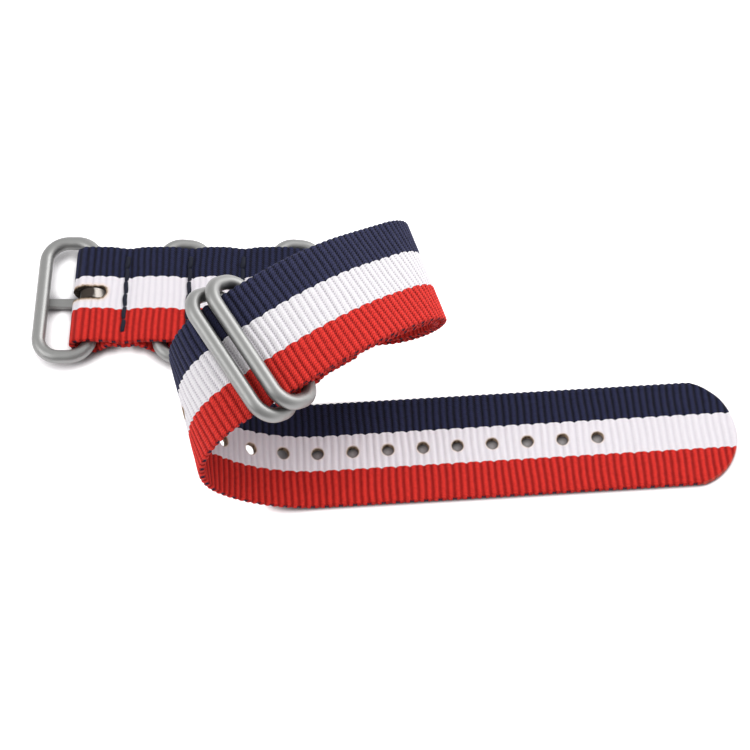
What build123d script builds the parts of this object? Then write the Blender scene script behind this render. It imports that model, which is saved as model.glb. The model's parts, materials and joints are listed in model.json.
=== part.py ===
"""Five-ring nylon watch strap, folded for storage, in millimetres.

The strap lies on a table at z = 0. +X runs to the right, +Y away from the viewer and +Z up. The webbing is
one ribbon that is followed from the buckle to the tip: it runs right with the wrist side up, turns back
over itself, passes through the two end rings, turns under and lies flat to its rounded tip. Every bend is
part of a cylinder whose axis may lean from square to the ribbon, which is how real webbing folds, so the
ribbon keeps its width and length all the way.
"""

import os
from dataclasses import dataclass, replace
from math import acos, asin, atan2, ceil, copysign, cos, degrees, radians, sin, sqrt, tan

from build123d import *

# Webbing
WEB_WIDTH = 22.0
WEB_THICKNESS = 1.35
LAYER_GAP = 0.1
TIP_RADIUS = 11.6

# Wire hardware
WIRE_DIAMETER = 2.7
PIN_CLEARANCE = 0.08
REST_CLEARANCE = 0.45
RING_SIDE_GAP = 0.7
RING_WIDTH = 11.5
RING_CORNER_RADIUS = 5.1
RING_STACK_GAP = 0.15
BUCKLE_SIDE_GAP = 0.9
BUCKLE_WIDTH = 13.0
BUCKLE_CORNER_RADIUS = 5.7

# Tongue
TONGUE_WIDTH = 2.1
TONGUE_THICKNESS = 1.3
TONGUE_OVERHANG = 0.9
TONGUE_EDGE_RADIUS = 0.4
SLOT_SIDE_GAP = 0.35
SLOT_END_GAP = 0.45

# Places along the buckle end, from the axis of the buckle's inner bar, and how far its loose fold runs past it
BUCKLE_SLACK = 1.4
FIRST_STITCH_X = 6.6
FIRST_KEEPER_X = 13.6
SECOND_STITCH_X = 19.2
THIRD_STITCH_X = 29.8
SECOND_KEEPER_X = 36.3
FOURTH_STITCH_X = 41.9
FOLD_X = 52.5
POCKET_SLOPE = 40.0
POCKET_EASE_RADIUS = 2.0

# Stitching
THREAD_DIAMETER = 0.7
STITCH_COUNT = 6
STITCH_MARGIN = 2.2
THREAD_SIDES = 6

# Right-hand fold, arch of the upper leg and left-hand bend
FOLD_RADIUS = 11.86
FOLD_TURN = 149.4
FOLD_SKEW = -18.5
ARCH_LEAD = 6.9
ARCH_RADIUS = 37.0
ARCH_TURN = 37.5
ARCH_SKEW = 3.4
BEND_LEAD = 7.6
BEND_RADIUS = 11.33
BEND_TURN = 129.3
BEND_SKEW = -17.9
LANDING_RADIUS = 25.1

# Distances along the webbing: from the first end ring's bar to the arch's end, and from the fold to the tip
END_RING_TO_ARCH_END = 0.97
FOLD_TO_TIP = 203.0

# End loop of the under strap: the turn up past the first bar, and the tab that is sewn down
TAB_SLOPE = 45.0
TAB_RAMP = 1.5
TAB_TURN = 58.5
TAB_LENGTH = 5.5
TAB_STITCH = 2.6

# Adjustment holes
HOLE_DIAMETER = 2.2
HOLE_PITCH = 6.76
HOLE_COUNT = 14
TIP_TO_LAST_HOLE = 27.2

# Steps of the lofts and spare length of the cutting tools
ROUND_STEP = 22.5
OVERRUN = 1.0

WIRE_RADIUS = WIRE_DIAMETER / 2
PIN_RADIUS = WIRE_RADIUS + PIN_CLEARANCE
LOOP_RADIUS = PIN_RADIUS + WEB_THICKNESS / 2
LAYER_STEP = WEB_THICKNESS + LAYER_GAP
PIN_HEIGHT = WEB_THICKNESS + PIN_RADIUS
STACK_HEIGHT = 2 * PIN_HEIGHT
UNDER_LAYER_HEIGHT = STACK_HEIGHT - WEB_THICKNESS / 2
LONG_LAYER_HEIGHT = UNDER_LAYER_HEIGHT - LAYER_STEP
RING_LENGTH = WEB_WIDTH + 2 * (RING_SIDE_GAP + WIRE_DIAMETER)
BUCKLE_LENGTH = WEB_WIDTH + 2 * (BUCKLE_SIDE_GAP + WIRE_DIAMETER)
RING_SPAN = RING_WIDTH - WIRE_DIAMETER
BUCKLE_SPAN = BUCKLE_WIDTH - WIRE_DIAMETER
EYE_RADIUS = PIN_RADIUS + TONGUE_THICKNESS
SLOT_WIDTH = TONGUE_WIDTH + 2 * SLOT_SIDE_GAP
SLOT_REACH = EYE_RADIUS + SLOT_END_GAP

UP = Vector(0, 0, 1)
RIGHT = Vector(1, 0, 0)
AWAY = Vector(0, 1, 0)


@dataclass(frozen=True)
class Frame:
    """A place on the middle line of the ribbon, with the directions along and across it."""

    centre: Vector
    along: Vector
    across: Vector

    @property
    def normal(self):
        """Direction out of the wrist side."""
        return self.along.cross(self.across)

    def moved(self, ahead, out=0.0):
        """The same directions, further along the ribbon and out of its wrist side."""
        return replace(self, centre=self.centre + self.along * ahead + self.normal * out)

    def plane(self):
        """Plane of the ribbon, with x along it and z out of the wrist side."""
        return Plane(origin=self.centre, x_dir=self.along, z_dir=self.normal)


@dataclass(frozen=True)
class Ruling:
    """A straight line across the ribbon from edge to edge, and the way that the ribbon faces there."""

    centre: Vector
    direction: Vector
    normal: Vector
    length: float

    def moved(self, out):
        """The same ruling, further out of the wrist side."""
        return replace(self, centre=self.centre + self.normal * out)

    def turned_over(self):
        """The same ruling of a ribbon that comes back with its wrist side the other way."""
        return replace(self, normal=-self.normal)

    def section(self):
        """Cross-section of the webbing."""
        plane = Plane(
            origin=self.centre,
            x_dir=self.direction,
            z_dir=self.direction.cross(self.normal),
        )
        return plane * Rectangle(self.length, WEB_THICKNESS)


def skew_lead(skew):
    """Distance by which the edges of a leaning bend run ahead of and behind its middle."""
    return WEB_WIDTH / 2 * tan(radians(abs(skew)))


@dataclass(frozen=True)
class Bend:
    """A stretch of ribbon wrapped round a cylinder: towards the wrist side for a positive turn."""

    start: Frame
    radius: float
    turn: float
    skew: float = 0.0

    @property
    def length(self):
        """Length along the middle line."""
        return self.radius * radians(abs(self.turn)) / cos(radians(self.skew))

    def at(self, distance):
        """Frame at a distance along the middle line of this bend."""
        lean = radians(self.skew)
        side = copysign(1, self.turn)
        angle = distance * cos(lean) / self.radius
        axis = self.start.across * cos(lean) + self.start.along * sin(lean)
        ahead = self.start.along * cos(lean) - self.start.across * sin(lean)
        normal = self.start.normal
        centre = (
            self.start.centre
            + axis * (distance * sin(lean))
            + ahead * (self.radius * sin(angle))
            + normal * (side * self.radius * (1 - cos(angle)))
        )
        turned = ahead * cos(angle) + normal * (side * sin(angle))
        along = turned * cos(lean) + axis * sin(lean)
        across = axis * cos(lean) - turned * sin(lean)
        return Frame(centre, along, across)

    def ruling(self, distance):
        """Ruling at a distance along the middle line."""
        here = self.at(distance)
        lean = radians(self.skew)
        direction = here.across * cos(lean) + here.along * sin(lean)
        return Ruling(here.centre, direction, here.normal, WEB_WIDTH / cos(lean))

    def rulings(self, begin=0.0, end=None):
        """Evenly spaced rulings from one distance along the bend to another."""
        end = self.length if end is None else end
        share = (end - begin) / self.length
        steps = max(2, ceil(abs(self.turn) * share / ROUND_STEP))
        return [self.ruling(begin + (end - begin) * step / steps) for step in range(steps + 1)]


@dataclass(frozen=True)
class Run:
    """A flat stretch of ribbon."""

    start: Frame
    length: float

    def at(self, distance):
        """Frame at a distance along the run."""
        return self.start.moved(distance)


class Ribbon:
    """Runs and bends laid end to end."""

    def __init__(self, start):
        self.end = start
        self.length = 0.0
        self.stretches = []

    def add(self, stretch):
        """Lay one more stretch."""
        self.stretches.append((self.length, stretch))
        self.length += stretch.length
        self.end = stretch.at(stretch.length)

    def run(self, length):
        """Lay a flat stretch."""
        self.add(Run(self.end, length))

    def bend(self, radius, turn, skew=0.0):
        """Lay a bend."""
        self.add(Bend(self.end, radius, turn, skew))

    def at(self, distance):
        """Frame at a distance from the start of the ribbon."""
        begin, stretch = [pair for pair in self.stretches if pair[0] <= distance][-1]
        return stretch.at(distance - begin)

    def spans(self, begin, end):
        """Rulings of each bend between two distances, clear of a square cut at either."""
        found = []
        for start, stretch in self.stretches:
            if isinstance(stretch, Bend):
                lead = skew_lead(stretch.skew)
                low = max(begin + lead - start, 0.0)
                high = min(end - lead - start, stretch.length)
                if high - low > LAYER_GAP:
                    found.append(stretch.rulings(low, high))
        return found


def flat_piece(before, after):
    """Flat stretch of webbing between two rulings of one plane."""
    sink = before.normal * (WEB_THICKNESS / 2)
    reach, reach_after = (ruling.direction * (ruling.length / 2) for ruling in (before, after))
    corners = [
        before.centre - reach - sink,
        before.centre + reach - sink,
        after.centre + reach_after - sink,
        after.centre - reach_after - sink,
    ]
    return extrude(make_face(Polyline(*corners, close=True)), WEB_THICKNESS, dir=before.normal)


def square_ruling(frame):
    """Ruling straight across the ribbon."""
    return Ruling(frame.centre, frame.across, frame.normal, WEB_WIDTH)


def webbing(spans):
    """Solid of a length of webbing: smooth round each bend and straight between bends."""
    pieces = []
    for index, span in enumerate(spans):
        before = spans[index - 1][-1] if index else span[0]
        if (span[0].centre - before.centre).length > LAYER_GAP:
            pieces.append(flat_piece(before, span[0]))
        if len(span) > 1:
            pieces.append(loft([ruling.section() for ruling in span]))
    joints = [ruling.centre for span in spans for ruling in (span[0], span[-1])]
    ends = [spans[0][0].centre, spans[-1][-1].centre]
    faces = []
    for face in (face for piece in pieces for face in piece.faces()):
        inside = min((face.center() - centre).length for centre in joints) < LAYER_GAP / 2
        at_end = min((face.center() - centre).length for centre in ends) < LAYER_GAP / 2
        if at_end or not inside:
            faces.append(face)
    return Part() + Solid(Shell(faces))


def climb(ribbon, rise, radius, slope):
    """Step the ribbon by a rise along its wrist side, with an eased ramp at a slope."""
    angle = radians(slope)
    ramp = (abs(rise) - 2 * radius * (1 - cos(angle))) / sin(angle)
    turn = copysign(slope, rise)
    ribbon.bend(radius, turn)
    ribbon.run(ramp)
    ribbon.bend(radius, -turn)


def pocket(ribbon, pin_x):
    """Dip the ribbon under a bar whose axis stands at a distance along the buckle end."""
    angle = radians(POCKET_SLOPE)
    drop = LONG_LAYER_HEIGHT - WEB_THICKNESS / 2
    radii = POCKET_EASE_RADIUS + LOOP_RADIUS
    ramp = (drop - radii * (1 - cos(angle))) / sin(angle)
    half_width = radii * sin(angle) + ramp * cos(angle)
    ribbon.run(pin_x - half_width - ribbon.end.centre.X)
    ribbon.bend(POCKET_EASE_RADIUS, -POCKET_SLOPE)
    ribbon.run(ramp)
    ribbon.bend(LOOP_RADIUS, 2 * POCKET_SLOPE)
    ribbon.run(ramp)
    ribbon.bend(POCKET_EASE_RADIUS, -POCKET_SLOPE)


def land(ribbon, radius):
    """Bring the ribbon down to the table, with the bend that leaves it flat there."""
    frame = ribbon.end
    axis = frame.normal.cross(UP).normalized()
    if axis.dot(frame.across) < 0:
        axis = -axis
    skew = degrees(atan2(axis.dot(frame.along), axis.dot(frame.across)))
    turn = degrees(acos(frame.normal.dot(UP)))
    trial = Bend(frame, radius, turn, skew)
    fall = trial.at(trial.length).centre.Z - WEB_THICKNESS / 2
    ribbon.run(fall / -frame.along.Z)
    ribbon.bend(radius, turn, skew)


def lay_long_strap():
    """Ribbon of the long strap, and the distance at which its right-hand fold starts."""
    start = Frame(Vector(0, 0, UNDER_LAYER_HEIGHT), -RIGHT, AWAY)
    ribbon = Ribbon(start)
    ribbon.run(BUCKLE_SLACK)
    ribbon.bend(LOOP_RADIUS, 180.0)
    ribbon.run(BUCKLE_SLACK)
    climb(ribbon, LONG_LAYER_HEIGHT - WEB_THICKNESS / 2, POCKET_EASE_RADIUS, POCKET_SLOPE)
    pocket(ribbon, FIRST_KEEPER_X)
    pocket(ribbon, SECOND_KEEPER_X)
    ribbon.run(FOLD_X - ribbon.end.centre.X)
    fold_start = ribbon.length
    ribbon.bend(FOLD_RADIUS, FOLD_TURN, FOLD_SKEW)
    ribbon.run(ARCH_LEAD)
    ribbon.bend(ARCH_RADIUS, ARCH_TURN, ARCH_SKEW)
    first_ring = ribbon.length - END_RING_TO_ARCH_END
    ribbon.run(BEND_LEAD)
    ribbon.bend(BEND_RADIUS, BEND_TURN, BEND_SKEW)
    land(ribbon, LANDING_RADIUS)
    ribbon.run(fold_start + FOLD_TO_TIP - ribbon.length)
    return ribbon, fold_start, first_ring


def end_ring_tilt():
    """Angle between the end rings and the webbing that they hold."""
    below = LAYER_STEP + LOOP_RADIUS
    above = WEB_THICKNESS / 2 + REST_CLEARANCE + WIRE_RADIUS
    return asin((below + above) / RING_SPAN)


def end_ring_frames(ribbon, first_ring):
    """Frames on the long strap beside the pins of the two end rings, which lie one on the other."""
    pitch = (WIRE_DIAMETER + RING_STACK_GAP) / sin(end_ring_tilt())
    return [ribbon.at(first_ring), ribbon.at(first_ring + pitch)]


def lay_end_loop(second, pitch):
    """Ribbon of the under strap's end loop: round the second bar, back under both and up to the tab."""
    loop = Ribbon(second.moved(0, LAYER_STEP))
    loop.bend(LOOP_RADIUS, 180.0)
    loop.run(pitch)
    loop.bend(LOOP_RADIUS, TAB_SLOPE)
    loop.run(TAB_RAMP)
    loop.bend(POCKET_EASE_RADIUS, -TAB_TURN)
    loop.run(TAB_LENGTH)
    return loop


def under_strap_spans(ribbon, fold_start, loop, last):
    """Rulings of the under strap: its run, the fold and arch beside the long strap, and its end loop."""
    start = Frame(Vector(0, 0, UNDER_LAYER_HEIGHT), RIGHT, AWAY)
    beside = ribbon.spans(fold_start - skew_lead(FOLD_SKEW), last)
    beside = [[ruling.moved(LAYER_STEP) for ruling in span] for span in beside]
    around = loop.spans(0.0, loop.length)
    return [[square_ruling(start)], *beside, *around, [square_ruling(loop.end)]]


def long_strap_spans(ribbon):
    """Rulings of the long strap, from the fold round the buckle to the tip."""
    start = [square_ruling(ribbon.at(0.0))]
    return [start, *ribbon.spans(0.0, ribbon.length), [square_ruling(ribbon.end)]]


def tip_cutter(ribbon):
    """Tool that rounds the tip."""
    height = WEB_THICKNESS + 2 * OVERRUN
    block = Pos((OVERRUN - TIP_RADIUS) / 2, 0, 0) * Box(TIP_RADIUS + OVERRUN, WEB_WIDTH + 2 * OVERRUN, height)
    kept = Pos(-TIP_RADIUS, 0, 0) * Cylinder(TIP_RADIUS, height)
    return ribbon.end.plane() * (block - kept)


def hole_cutters(ribbon, fold_start):
    """Tools for the adjustment holes."""
    first = fold_start + FOLD_TO_TIP - TIP_TO_LAST_HOLE
    tool = Cylinder(HOLE_DIAMETER / 2, WEB_THICKNESS + 2 * OVERRUN)
    return [ribbon.at(first - index * HOLE_PITCH).plane() * tool for index in range(HOLE_COUNT)]


def slot_cutter():
    """Tool for the slot that lets the tongue through both layers."""
    height = STACK_HEIGHT + 2 * OVERRUN
    start = -(BUCKLE_SLACK + LOOP_RADIUS + WEB_THICKNESS)
    end = SLOT_REACH - SLOT_WIDTH / 2
    middle = STACK_HEIGHT / 2
    block = Pos((start + end) / 2, 0, middle) * Box(end - start, SLOT_WIDTH, height)
    return block + Pos(end, 0, middle) * Cylinder(SLOT_WIDTH / 2, height)


def flare_cutters(pin, length, corner_radius):
    """Tools that ease the webbing's edges round the corners of the ring on a bar."""
    straight = length / 2 - corner_radius
    inner = corner_radius - WIRE_DIAMETER
    edge = WEB_WIDTH / 2 - straight
    if edge <= 0:
        return []
    deepest = corner_radius - WIRE_RADIUS - sqrt(inner**2 - min(edge, inner) ** 2)
    growth = (deepest + PIN_CLEARANCE - PIN_RADIUS) * (edge + OVERRUN) / edge
    cone = Cone(PIN_RADIUS, PIN_RADIUS + growth, edge + OVERRUN)
    cone = Pos(0, 0, straight + (edge + OVERRUN) / 2) * cone
    return [pin * cone, pin * Rot(180, 0, 0) * cone]


def bar_plane(centre, toward):
    """Plane on the axis of a bar, with x towards the ring's other bar and z along the bar."""
    return Plane(origin=centre, x_dir=toward, z_dir=AWAY)


def wire_ring(length, width, corner_radius):
    """Ring of round wire in the plane of x and z, with one long bar on the z axis."""
    span = width - WIRE_DIAMETER
    outline = Pos(span / 2, 0, 0) * RectangleRounded(
        span, length - WIRE_DIAMETER, corner_radius - WIRE_RADIUS
    )
    path = outline.wire()
    ring = sweep(Plane(origin=path @ 0, z_dir=path % 0) * Circle(WIRE_RADIUS), path=path)
    return Rot(90, 0, 0) * ring


def tongue():
    """Tongue with its eye on the buckle's inner bar, its flat back just under the far bar."""
    tip = BUCKLE_SPAN + TONGUE_OVERHANG
    height = PIN_RADIUS + TONGUE_THICKNESS / 2
    eye = Rot(90, 0, 0) * Cylinder(EYE_RADIUS, TONGUE_WIDTH)
    plate = Pos(-(tip - TONGUE_WIDTH / 2) / 2, 0, -height) * Box(
        tip - TONGUE_WIDTH / 2, TONGUE_WIDTH, TONGUE_THICKNESS
    )
    end = Pos(-(tip - TONGUE_WIDTH / 2), 0, -height) * Cylinder(TONGUE_WIDTH / 2, TONGUE_THICKNESS)
    plate = plate + end
    rims = plate.faces().sort_by(Axis.Z)[0].edges() + plate.faces().sort_by(Axis.Z)[-1].edges()
    plate = fillet([rim for rim in rims if rim.center().X < -WIRE_RADIUS], TONGUE_EDGE_RADIUS)
    bore = Rot(90, 0, 0) * Cylinder(PIN_RADIUS, TONGUE_WIDTH + OVERRUN)
    return Pos(0, 0, PIN_HEIGHT) * (eye + plate - bore)


def prism(plane, start, end):
    """Length of thread between two points of a plane."""
    direction = plane.from_local_coords(end) - plane.from_local_coords(start)
    section = Plane(origin=plane.from_local_coords(start), z_dir=direction.normalized())
    return extrude(section * RegularPolygon(THREAD_DIAMETER / 2, THREAD_SIDES), direction.length)


def stitch_row(plane, depth):
    """Row of stitches across two layers, seen on the plane and at a depth below it."""
    reach = WEB_WIDTH / 2 - STITCH_MARGIN
    pitch = 2 * reach / STITCH_COUNT
    lift = THREAD_DIAMETER / 4
    posts = [-reach + pitch * index for index in range(STITCH_COUNT + 1)]
    threads = [prism(plane, Vector(0, y, lift), Vector(0, y, -depth - lift)) for y in posts]
    for y in posts[:-1]:
        for height in (lift, -depth - lift):
            threads.append(prism(plane, Vector(0, y, height), Vector(0, y + pitch, height)))
    return Part() + threads


def layout():
    """Every piece of the strap, and the bar axes that its hinges use."""
    ribbon, fold_start, first_ring = lay_long_strap()
    first, second = end_ring_frames(ribbon, first_ring)
    pitch = (second.centre - first.centre).length
    loop = lay_end_loop(second, pitch)
    last = first_ring + pitch

    buckle_pin = bar_plane(Vector(0, 0, PIN_HEIGHT), -RIGHT)
    tilt = asin((PIN_HEIGHT - WIRE_RADIUS) / RING_SPAN)
    toward = RIGHT * cos(tilt) - UP * sin(tilt)
    keeper_pins = [bar_plane(Vector(x, 0, PIN_HEIGHT), toward) for x in (FIRST_KEEPER_X, SECOND_KEEPER_X)]
    end_pins = []
    for frame in (first, second):
        tilt = end_ring_tilt()
        toward = frame.along * cos(tilt) - frame.normal * sin(tilt)
        centre = frame.centre + frame.normal * (LAYER_STEP + LOOP_RADIUS)
        end_pins.append(Plane(origin=centre, x_dir=toward, z_dir=frame.across))

    ring = wire_ring(RING_LENGTH, RING_WIDTH, RING_CORNER_RADIUS)
    buckle = wire_ring(BUCKLE_LENGTH, BUCKLE_WIDTH, BUCKLE_CORNER_RADIUS)
    pins = [buckle_pin, *keeper_pins, *end_pins]
    flares = flare_cutters(buckle_pin, BUCKLE_LENGTH, BUCKLE_CORNER_RADIUS)
    for pin in (*keeper_pins, *end_pins):
        flares += flare_cutters(pin, RING_LENGTH, RING_CORNER_RADIUS)

    long_strap = webbing(long_strap_spans(ribbon))
    long_strap = long_strap - [tip_cutter(ribbon), slot_cutter(), *hole_cutters(ribbon, fold_start), *flares]
    under_strap = webbing(under_strap_spans(ribbon, fold_start, loop, last))
    under_strap = under_strap - [slot_cutter(), *flares]

    depth = WEB_THICKNESS + LAYER_STEP
    pieces = {
        "long_strap": long_strap,
        "under_strap": under_strap,
        "buckle_frame": buckle_pin * buckle,
        "buckle_tongue": tongue(),
        "keeper_ring_1": keeper_pins[0] * ring,
        "keeper_ring_2": keeper_pins[1] * ring,
        "end_ring_1": end_pins[0] * ring,
        "end_ring_2": end_pins[1] * ring,
    }
    rows = (FIRST_STITCH_X, SECOND_STITCH_X, THIRD_STITCH_X, FOURTH_STITCH_X)
    for number, x in enumerate(rows, start=1):
        pieces[f"stitch_row_{number}"] = stitch_row(Plane(origin=(x, 0, STACK_HEIGHT)), depth)
    tab = loop.at(loop.length - TAB_LENGTH + TAB_STITCH).plane().offset(-WEB_THICKNESS / 2)
    outside = Plane(origin=tab.origin, x_dir=-tab.x_dir, z_dir=-tab.z_dir)
    pieces["stitch_row_5"] = stitch_row(outside, depth)
    return pieces, pins


def main():
    """Write one file for each piece, with the origin under the middle of the whole."""
    pieces, pins = layout()
    box = Compound(list(pieces.values())).bounding_box()
    shift = Vector(-box.center().X, -box.center().Y, -box.min.Z)
    os.makedirs("parts", exist_ok=True)
    for name, piece in pieces.items():
        export_step(Pos(shift) * piece, f"parts/{name}.step")
    print("shift", shift, "size", box.size)
    for pin in pins:
        print("bar", pin.origin + shift, "along", pin.z_dir, "towards", pin.x_dir)


main()
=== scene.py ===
"""Dresses the folded webbing watch strap: ribbed webbing in three stripes, stitches, wire and the table.

The strap's sizes are in millimetres until a mesh is made, and the studio's and the materials' in metres
unless they say otherwise. The webbing is a formula of three numbers, the distances along the ribbon, across
it and out of its wrist side, carried over flat runs and bends. A bend is part of a cylinder whose axis may
lean from square to the ribbon.
"""

import json
import logging
from collections.abc import Callable
from dataclasses import dataclass, field
from enum import Enum
from math import acos, asin, atan2, copysign, cos, degrees, pi, radians, sin

import bpy
import numpy as np
from numpy.typing import NDArray
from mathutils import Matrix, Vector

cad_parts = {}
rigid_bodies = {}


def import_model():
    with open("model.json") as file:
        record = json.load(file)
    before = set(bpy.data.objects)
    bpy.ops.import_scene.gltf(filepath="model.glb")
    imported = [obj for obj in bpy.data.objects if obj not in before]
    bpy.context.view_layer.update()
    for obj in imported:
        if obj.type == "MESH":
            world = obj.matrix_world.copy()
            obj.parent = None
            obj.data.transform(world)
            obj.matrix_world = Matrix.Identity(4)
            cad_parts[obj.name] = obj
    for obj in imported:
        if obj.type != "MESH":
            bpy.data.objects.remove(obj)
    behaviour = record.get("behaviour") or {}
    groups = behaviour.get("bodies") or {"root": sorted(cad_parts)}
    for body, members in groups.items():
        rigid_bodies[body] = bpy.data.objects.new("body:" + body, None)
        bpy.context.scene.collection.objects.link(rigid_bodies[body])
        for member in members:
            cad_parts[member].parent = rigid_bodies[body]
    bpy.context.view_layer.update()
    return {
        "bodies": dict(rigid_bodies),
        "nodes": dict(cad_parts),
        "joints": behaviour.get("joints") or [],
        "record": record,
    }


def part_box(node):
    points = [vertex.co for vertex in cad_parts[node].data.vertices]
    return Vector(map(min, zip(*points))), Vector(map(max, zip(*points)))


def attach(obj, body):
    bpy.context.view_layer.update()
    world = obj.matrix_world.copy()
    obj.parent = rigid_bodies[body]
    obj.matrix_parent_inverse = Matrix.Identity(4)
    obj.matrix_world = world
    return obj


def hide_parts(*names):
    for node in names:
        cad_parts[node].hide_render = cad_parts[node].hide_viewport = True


Array = NDArray[np.float64]
Corners = NDArray[np.int64]
Placer = Callable[[Array, Array, Array], Array]
Place = tuple[float, float, float]
Edge = tuple[float, float]
Colour = tuple[float, float, float, float]
Socket = bpy.types.NodeSocket

LOG = logging.getLogger("strap")
METRES = 0.001
HALF_TURN = 180.0
# Ribs to one length of the map that the weave follows, which keeps its numbers small.
RIBS_PER_MAP = 200.0
WELD_DECIMALS = 5
WHITE: Colour = (1.0, 1.0, 1.0, 1.0)
UP = np.array([0.0, 0.0, 1.0])
RIGHT = np.array([1.0, 0.0, 0.0])
AWAY = np.array([0.0, 1.0, 0.0])


class Slot(Enum):
    """Names for the finishes of the pieces that are made here, which nothing in the script uses."""

    WEBBING = "webbing"
    THREAD = "thread"


@dataclass(frozen=True)
class Frame:
    """A place on the middle line of the ribbon, with the directions along and across it."""

    centre: Array
    along: Array
    across: Array

    @property
    def normal(self) -> Array:
        """Direction out of the wrist side."""
        return np.cross(self.along, self.across)

    def moved(self, ahead: float, out: float = 0.0) -> "Frame":
        """The same directions, further along the ribbon and out of its wrist side."""
        return Frame(self.centre + self.along * ahead + self.normal * out, self.along, self.across)


@dataclass(frozen=True)
class Run:
    """A flat stretch of ribbon."""

    length: float

    def after(self, frame: Frame) -> Frame:
        """Frame at the end of the run."""
        return frame.moved(self.length)


@dataclass(frozen=True)
class Bend:
    """A stretch wrapped round a cylinder, towards the wrist side for a positive turn."""

    radius: float
    turn: float
    skew: float = 0.0

    @property
    def reach(self) -> float:
        """Length of the wrap, square to the cylinder's axis."""
        return self.radius * radians(abs(self.turn))

    @property
    def length(self) -> float:
        """Length along the middle line."""
        return self.reach / cos(radians(self.skew))

    def axes(self, frame: Frame) -> tuple[Array, Array]:
        """Directions along the cylinder and ahead round it, at the start of the bend.

        Args:
            frame: Frame at the start of the bend.

        Returns:
            The cylinder's axis, and the direction square to it, both in the ribbon's plane.
        """
        lean = radians(self.skew)
        axis = frame.across * cos(lean) + frame.along * sin(lean)
        ahead = frame.along * cos(lean) - frame.across * sin(lean)
        return axis, ahead

    def wrap(self, frame: Frame, slide: Array, ahead: Array, out: Array) -> Array:
        """Points of the bend: a circle of the bend's radius, slid along the cylinder's axis.

        Args:
            frame: Frame at the start of the bend.
            slide: Distances along the cylinder's axis.
            ahead: Distances round the cylinder.
            out: Distances out of the wrist side.

        Returns:
            Points, one row each.
        """
        axis, forward = self.axes(frame)
        side = copysign(1.0, self.turn)
        angle = (ahead / self.radius)[:, None]
        normal = frame.normal * np.cos(angle) - forward * (side * np.sin(angle))
        round_it = forward * (self.radius * np.sin(angle))
        lifted = frame.normal * (side * self.radius * (1 - np.cos(angle)))
        return frame.centre + axis * slide[:, None] + round_it + lifted + normal * out[:, None]

    def after(self, frame: Frame) -> Frame:
        """Frame at the end of the bend.

        Args:
            frame: Frame at its start.

        Returns:
            The frame, turned about the cylinder's axis.
        """
        axis, forward = self.axes(frame)
        lean = radians(self.skew)
        side = copysign(1.0, self.turn)
        angle = radians(abs(self.turn))
        slide = np.array([self.length * sin(lean)])
        centre = self.wrap(frame, slide, np.array([self.reach]), np.zeros(1))[0]
        turned = forward * cos(angle) + frame.normal * (side * sin(angle))
        along = turned * cos(lean) + axis * sin(lean)
        across = axis * cos(lean) - turned * sin(lean)
        return Frame(centre, along, across)


@dataclass
class Ribbon:
    """Runs and bends laid end to end from a frame."""

    start: Frame
    stretches: list[Run | Bend] = field(default_factory=list)
    length: float = 0.0

    def __post_init__(self) -> None:
        """Start with no stretch laid."""
        self.end = self.start

    def add(self, *stretches: Run | Bend) -> "Ribbon":
        """Lay more stretches.

        Args:
            stretches: Runs and bends, in order.

        Returns:
            The same ribbon.
        """
        for stretch in stretches:
            self.stretches.append(stretch)
            self.length += stretch.length
            self.end = stretch.after(self.end)
        return self

    def frame_at(self, distance: float) -> Frame:
        """Frame at a distance along the middle line.

        Args:
            distance: Distance from the ribbon's start.

        Returns:
            The frame there, or beyond the end on the line that carries on.
        """
        frame = self.start
        for stretch in self.stretches:
            if distance <= stretch.length:
                break
            distance -= stretch.length
            frame = stretch.after(frame)
        else:
            return frame.moved(distance)
        if isinstance(stretch, Run):
            return frame.moved(distance)
        share = distance / stretch.length
        return Bend(stretch.radius, stretch.turn * share, stretch.skew).after(frame)

    def place(self, along: Array, across: Array, out: Array) -> Array:
        """Points of the ribbon: flat until a bend's first ruling, wrapped round it, and flat again.

        Args:
            along: Distances along the middle line.
            across: Distances across, to the ribbon's far side.
            out: Distances out of the wrist side.

        Returns:
            Points, one row each.
        """
        points = np.zeros((len(along), 3))
        left = np.ones(len(along), dtype=bool)
        rest = along.astype(float).copy()
        frame = self.start
        for stretch in self.stretches:
            if isinstance(stretch, Bend):
                lean = radians(stretch.skew)
                ahead = rest * cos(lean) - across * sin(lean)
                slide = rest * sin(lean) + across * cos(lean)
                flat = left & (ahead <= 0)
                points[flat] = lay_flat(frame, rest[flat], across[flat], out[flat])
                bent = left & (ahead > 0) & (ahead <= stretch.reach)
                points[bent] = stretch.wrap(frame, slide[bent], ahead[bent], out[bent])
                left &= ahead > stretch.reach
            rest -= stretch.length
            frame = stretch.after(frame)
        points[left] = lay_flat(frame, rest[left], across[left], out[left])
        return points


def lay_flat(frame: Frame, along: Array, across: Array, out: Array) -> Array:
    """Points of the plane that touches the ribbon at a frame: its centre plus the three distances.

    Args:
        frame: Frame that the plane touches.
        along: Distances along the ribbon.
        across: Distances across it.
        out: Distances out of the wrist side.

    Returns:
        Points, one row each.
    """
    return (
        frame.centre
        + frame.along * along[:, None]
        + frame.across * across[:, None]
        + frame.normal * out[:, None]
    )


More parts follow.
